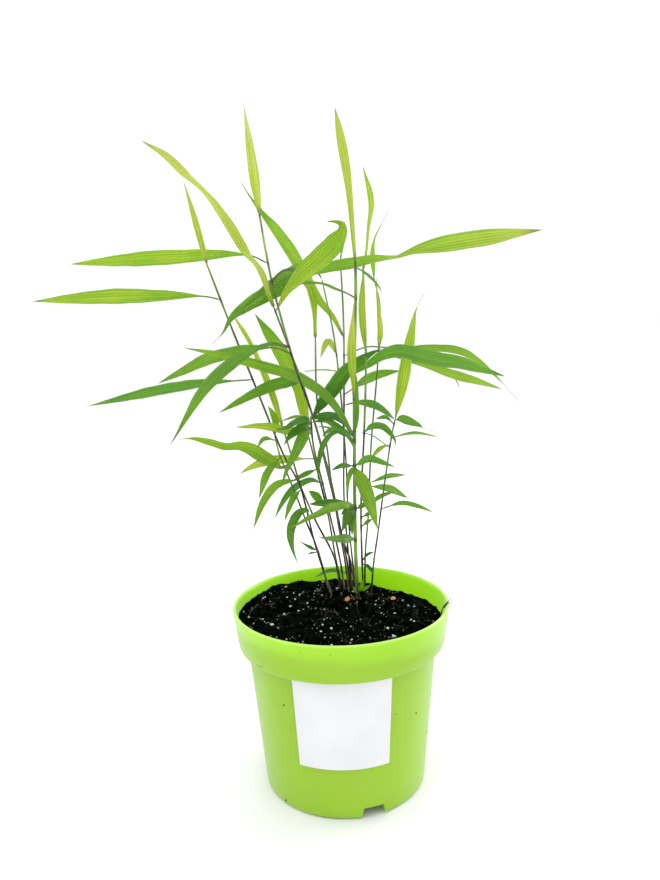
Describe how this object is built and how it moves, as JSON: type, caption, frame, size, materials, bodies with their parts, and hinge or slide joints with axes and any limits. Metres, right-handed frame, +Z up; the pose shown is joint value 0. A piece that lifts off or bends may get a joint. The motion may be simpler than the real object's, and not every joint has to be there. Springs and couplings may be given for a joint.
{
  "type": "potted northern sea oats",
  "caption": "Young clump of northern sea oats with thin dark stems and long arching leaves, in a round nursery pot filled with potting soil.",
  "frame": {"origin": "centre of the pot's flat underside", "axes": "+Z up along the pot's axis, -Y towards the side with the label"},
  "size_m": [0.3333, 0.1672, 0.47],
  "materials": {
    "pot_plastic": "satin lime green moulded plastic",
    "label_paper": "bare white sticker",
    "potting_soil": "moist black peat with white perlite grains",
    "foliage": "living leaf, yellow-green above, darker below, on purple-brown stems"
  },
  "bodies": {
    "root": {"pot": "pot_plastic", "label": "label_paper", "soil": "potting_soil", "leafy_stem_1": "foliage", "leafy_stem_2": "foliage", "leafy_stem_3": "foliage", "leafy_stem_4": "foliage", "leafy_stem_5": "foliage", "leafy_stem_6": "foliage", "leafy_stem_7": "foliage", "leafy_stem_8": "foliage", "leafy_stem_9": "foliage", "leafy_stem_10": "foliage", "leafy_stem_11": "foliage", "leafy_stem_12": "foliage", "leafy_stem_13": "foliage", "leafy_stem_14": "foliage"}
  },
  "joints": []
}
